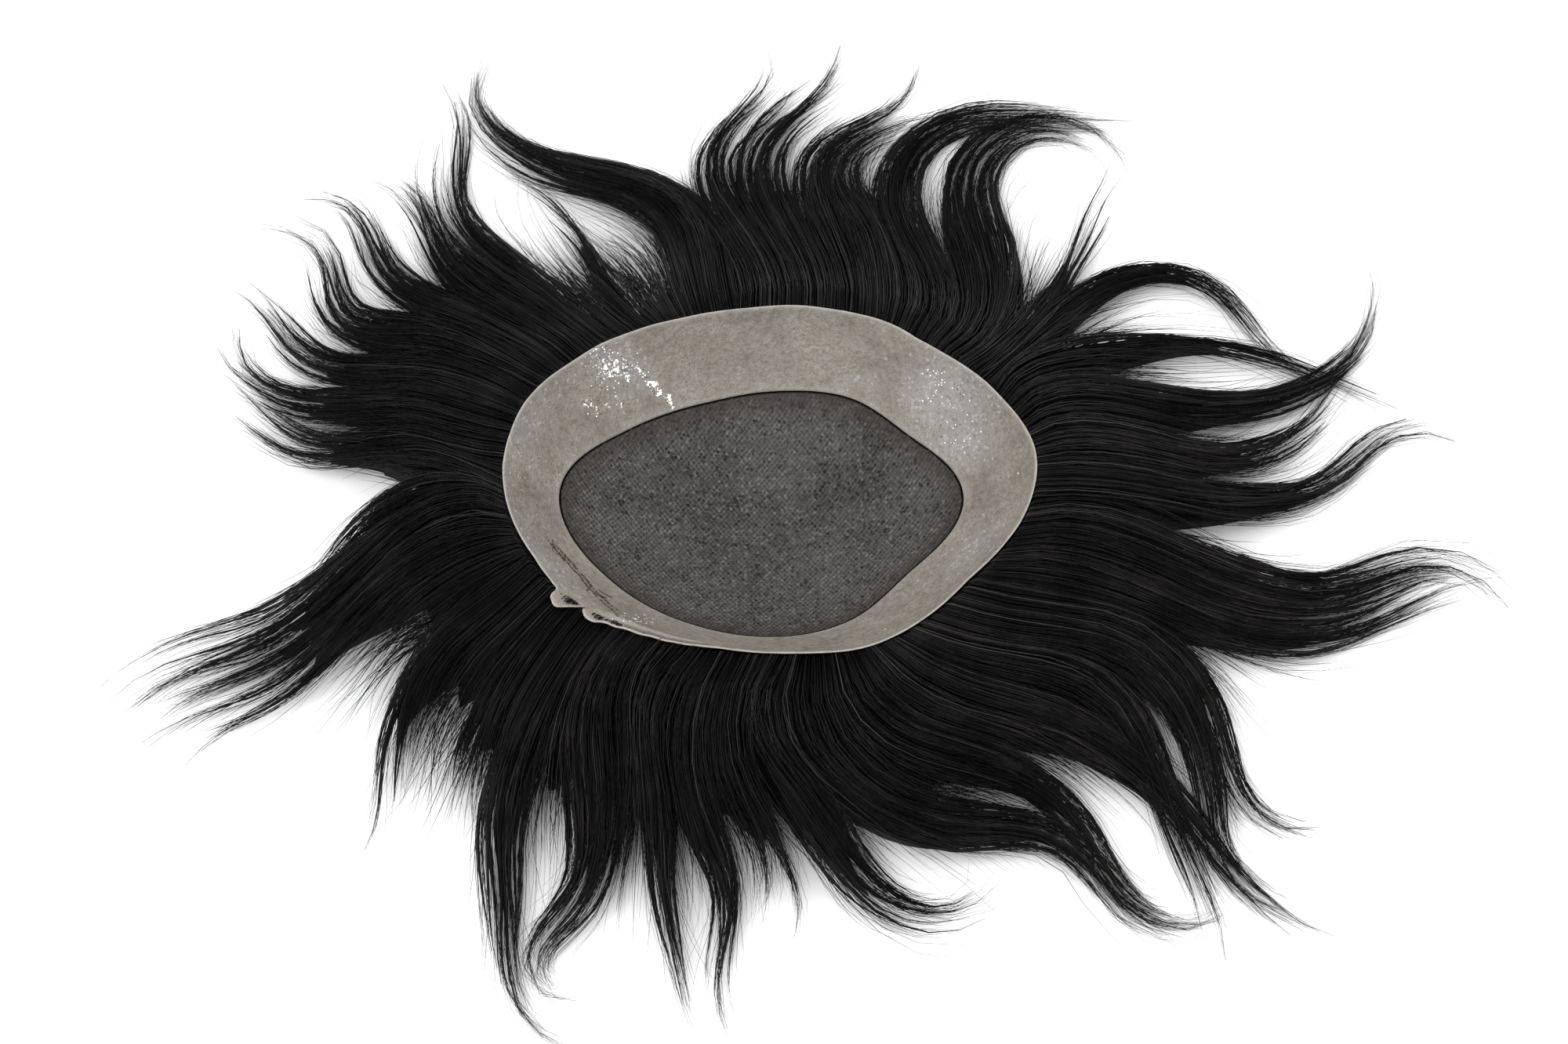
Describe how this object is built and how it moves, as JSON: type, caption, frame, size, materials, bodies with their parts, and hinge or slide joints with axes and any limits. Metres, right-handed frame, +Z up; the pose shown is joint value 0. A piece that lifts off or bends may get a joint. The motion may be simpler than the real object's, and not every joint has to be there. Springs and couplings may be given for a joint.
{
  "type": "toupee hairpiece",
  "caption": "Black toupee lying upside down: a shallow cup of net with a band of clear skin film round it, and hair fanned out on the surface below the rim.",
  "frame": {"origin": "on the surface that the toupee lies on, under the middle of the cup", "axes": "+X along the length of the base towards its back end, +Y across it towards the wearer's left, +Z up, out of the open cup"},
  "size_m": [0.4657, 0.4, 0.055],
  "materials": {
    "net": "fine dark brown monofilament net, matt",
    "skin_film": "thin clear film that shows tan over the hair, satin with crinkled glossy patches",
    "hair": "black hair strands with a low, narrow shine"
  },
  "bodies": {
    "root": {"mono_net": "net", "skin_band": "skin_film", "hair_crown": "hair", "hair_back": "hair", "hair_left_rear": "hair", "hair_left_front": "hair", "hair_right_front": "hair", "hair_right_rear": "hair"}
  },
  "joints": []
}
